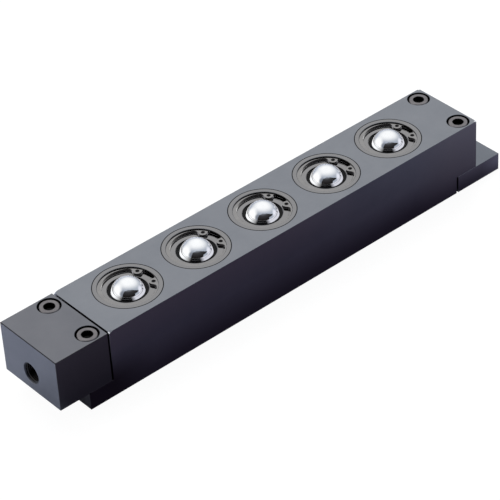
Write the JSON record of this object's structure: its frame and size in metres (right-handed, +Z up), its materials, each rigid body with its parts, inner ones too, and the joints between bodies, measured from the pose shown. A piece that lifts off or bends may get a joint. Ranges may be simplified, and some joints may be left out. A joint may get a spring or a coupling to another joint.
{
  "type": "ball transfer rail",
  "caption": "Long steel rail whose top carries a row of ball units on air pistons, with a ported end block and a lapped end foot.",
  "frame": {"origin": "middle of the length and width of the rail, on its underside", "axes": "+X along the rail from the ported end block to the foot, +Y across it, +Z up towards the balls"},
  "size_m": [0.2756, 0.04, 0.0405],
  "materials": {
    "blackened_steel": "ground and blackened steel, satin",
    "hardened_steel": "turned and hardened steel, satin",
    "spring_steel": "oiled spring steel",
    "screw_steel": "plain steel screw, satin",
    "ball_chrome": "polished bearing steel",
    "retainer_plastic": "dark moulded ring",
    "seal_rubber": "nitrile rubber cord ring"
  },
  "bodies": {
    "rail": {"rail_body": "blackened_steel", "end_block": "blackened_steel", "end_foot": "blackened_steel", "end_block_screws": "screw_steel", "end_foot_screws": "screw_steel", "lap_seal": "seal_rubber", "gallery_plug": "screw_steel", "cylinder_sleeve_1": "hardened_steel", "sleeve_seal_1": "seal_rubber", "retaining_ring_1": "spring_steel", "cylinder_sleeve_2": "hardened_steel", "sleeve_seal_2": "seal_rubber", "retaining_ring_2": "spring_steel", "cylinder_sleeve_3": "hardened_steel", "sleeve_seal_3": "seal_rubber", "retaining_ring_3": "spring_steel", "cylinder_sleeve_4": "hardened_steel", "sleeve_seal_4": "seal_rubber", "retaining_ring_4": "spring_steel", "cylinder_sleeve_5": "hardened_steel", "sleeve_seal_5": "seal_rubber", "retaining_ring_5": "spring_steel"},
    "piston_1": {"piston_cup_1": "hardened_steel", "piston_cap_1": "hardened_steel", "piston_seal_1": "seal_rubber", "ball_retainer_1": "retainer_plastic"},
    "ball_bed_1": {"support_balls_1": "ball_chrome"},
    "ball_1": {"load_ball_1": "ball_chrome"},
    "piston_2": {"piston_cup_2": "hardened_steel", "piston_cap_2": "hardened_steel", "piston_seal_2": "seal_rubber", "ball_retainer_2": "retainer_plastic"},
    "ball_bed_2": {"support_balls_2": "ball_chrome"},
    "ball_2": {"load_ball_2": "ball_chrome"},
    "piston_3": {"piston_cup_3": "hardened_steel", "piston_cap_3": "hardened_steel", "piston_seal_3": "seal_rubber", "ball_retainer_3": "retainer_plastic"},
    "ball_bed_3": {"support_balls_3": "ball_chrome"},
    "ball_3": {"load_ball_3": "ball_chrome"},
    "piston_4": {"piston_cup_4": "hardened_steel", "piston_cap_4": "hardened_steel", "piston_seal_4": "seal_rubber", "ball_retainer_4": "retainer_plastic"},
    "ball_bed_4": {"support_balls_4": "ball_chrome"},
    "ball_4": {"load_ball_4": "ball_chrome"},
    "piston_5": {"piston_cup_5": "hardened_steel", "piston_cap_5": "hardened_steel", "piston_seal_5": "seal_rubber", "ball_retainer_5": "retainer_plastic"},
    "ball_bed_5": {"support_balls_5": "ball_chrome"},
    "ball_5": {"load_ball_5": "ball_chrome"}
  },
  "joints": [
    {"name": "piston_lift_1", "type": "slide", "parent": "rail", "child": "piston_1", "axis": [0, 0, 1], "range_m": [-0.0045, 0]},
    {"name": "bed_turn_1", "type": "hinge", "parent": "piston_1", "child": "ball_bed_1", "pos_m": [-0.0809, 0, 0.03256], "axis": [0, 0, 1], "continuous": true},
    {"name": "ball_roll_1", "type": "hinge", "parent": "ball_bed_1", "child": "ball_1", "pos_m": [-0.0809, 0, 0.03256], "axis": [0, 1, 0], "continuous": true},
    {"name": "piston_lift_2", "type": "slide", "parent": "rail", "child": "piston_2", "axis": [0, 0, 1], "range_m": [-0.0045, 0]},
    {"name": "bed_turn_2", "type": "hinge", "parent": "piston_2", "child": "ball_bed_2", "pos_m": [-0.0403, 0, 0.03256], "axis": [0, 0, 1], "continuous": true},
    {"name": "ball_roll_2", "type": "hinge", "parent": "ball_bed_2", "child": "ball_2", "pos_m": [-0.0403, 0, 0.03256], "axis": [0, 1, 0], "continuous": true},
    {"name": "piston_lift_3", "type": "slide", "parent": "rail", "child": "piston_3", "axis": [0, 0, 1], "range_m": [-0.0045, 0]},
    {"name": "bed_turn_3", "type": "hinge", "parent": "piston_3", "child": "ball_bed_3", "pos_m": [0.0003, 0, 0.03256], "axis": [0, 0, 1], "continuous": true},
    {"name": "ball_roll_3", "type": "hinge", "parent": "ball_bed_3", "child": "ball_3", "pos_m": [0.0003, 0, 0.03256], "axis": [0, 1, 0], "continuous": true},
    {"name": "piston_lift_4", "type": "slide", "parent": "rail", "child": "piston_4", "axis": [0, 0, 1], "range_m": [-0.0045, 0]},
    {"name": "bed_turn_4", "type": "hinge", "parent": "piston_4", "child": "ball_bed_4", "pos_m": [0.0409, 0, 0.03256], "axis": [0, 0, 1], "continuous": true},
    {"name": "ball_roll_4", "type": "hinge", "parent": "ball_bed_4", "child": "ball_4", "pos_m": [0.0409, 0, 0.03256], "axis": [0, 1, 0], "continuous": true},
    {"name": "piston_lift_5", "type": "slide", "parent": "rail", "child": "piston_5", "axis": [0, 0, 1], "range_m": [-0.0045, 0]},
    {"name": "bed_turn_5", "type": "hinge", "parent": "piston_5", "child": "ball_bed_5", "pos_m": [0.0815, 0, 0.03256], "axis": [0, 0, 1], "continuous": true},
    {"name": "ball_roll_5", "type": "hinge", "parent": "ball_bed_5", "child": "ball_5", "pos_m": [0.0815, 0, 0.03256], "axis": [0, 1, 0], "continuous": true}
  ]
}
